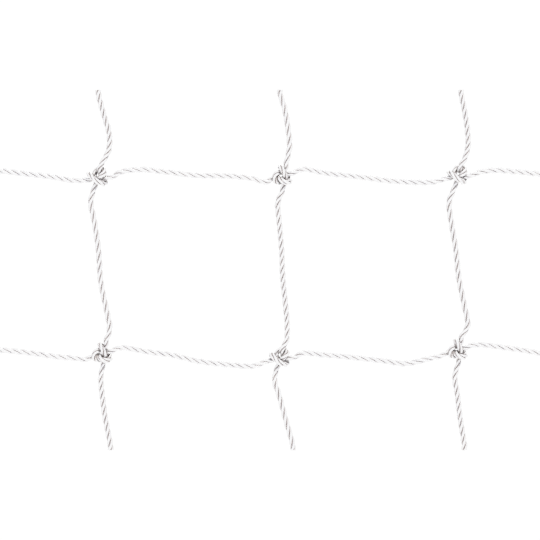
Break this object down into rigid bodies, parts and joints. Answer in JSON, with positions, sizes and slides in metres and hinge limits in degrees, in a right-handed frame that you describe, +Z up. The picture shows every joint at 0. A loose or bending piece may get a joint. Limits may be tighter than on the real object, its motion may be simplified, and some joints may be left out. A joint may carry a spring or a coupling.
{
  "type": "knotted tennis netting panel",
  "caption": "Panel of square-mesh tennis netting: twisted white twines tied to each other with sheet-bend knots, cut ends all round.",
  "frame": {"origin": "middle of the top cut edge, in the plane of the netting, which hangs below it", "axes": "+X along the net to the right as seen from the front, +Y through the net away from the viewer, +Z up; the panel hangs in the XZ plane"},
  "size_m": [0.14, 0.0046, 0.09],
  "materials": {
    "hitch_twine_long_ply_1": "glossy bleached white nylon yarn",
    "hitch_twine_long_ply_2": "glossy bleached white nylon yarn",
    "hitch_twine_long_ply_3": "glossy bleached white nylon yarn",
    "hitch_twine_top_right_ply_1": "glossy bleached white nylon yarn",
    "hitch_twine_top_right_ply_2": "glossy bleached white nylon yarn",
    "hitch_twine_top_right_ply_3": "glossy bleached white nylon yarn",
    "hitch_twine_low_left_ply_1": "glossy bleached white nylon yarn",
    "hitch_twine_low_left_ply_2": "glossy bleached white nylon yarn",
    "hitch_twine_low_left_ply_3": "glossy bleached white nylon yarn",
    "bight_twine_right_ply_1": "glossy bleached white nylon yarn",
    "bight_twine_right_ply_2": "glossy bleached white nylon yarn",
    "bight_twine_right_ply_3": "glossy bleached white nylon yarn",
    "bight_twine_left_ply_1": "glossy bleached white nylon yarn",
    "bight_twine_left_ply_2": "glossy bleached white nylon yarn",
    "bight_twine_left_ply_3": "glossy bleached white nylon yarn"
  },
  "bodies": {
    "root": {"hitch_twine_long_ply_1": "hitch_twine_long_ply_1", "hitch_twine_long_ply_2": "hitch_twine_long_ply_2", "hitch_twine_long_ply_3": "hitch_twine_long_ply_3", "hitch_twine_top_right_ply_1": "hitch_twine_top_right_ply_1", "hitch_twine_top_right_ply_2": "hitch_twine_top_right_ply_2", "hitch_twine_top_right_ply_3": "hitch_twine_top_right_ply_3", "hitch_twine_low_left_ply_1": "hitch_twine_low_left_ply_1", "hitch_twine_low_left_ply_2": "hitch_twine_low_left_ply_2", "hitch_twine_low_left_ply_3": "hitch_twine_low_left_ply_3", "bight_twine_right_ply_1": "bight_twine_right_ply_1", "bight_twine_right_ply_2": "bight_twine_right_ply_2", "bight_twine_right_ply_3": "bight_twine_right_ply_3", "bight_twine_left_ply_1": "bight_twine_left_ply_1", "bight_twine_left_ply_2": "bight_twine_left_ply_2", "bight_twine_left_ply_3": "bight_twine_left_ply_3"}
  },
  "joints": []
}
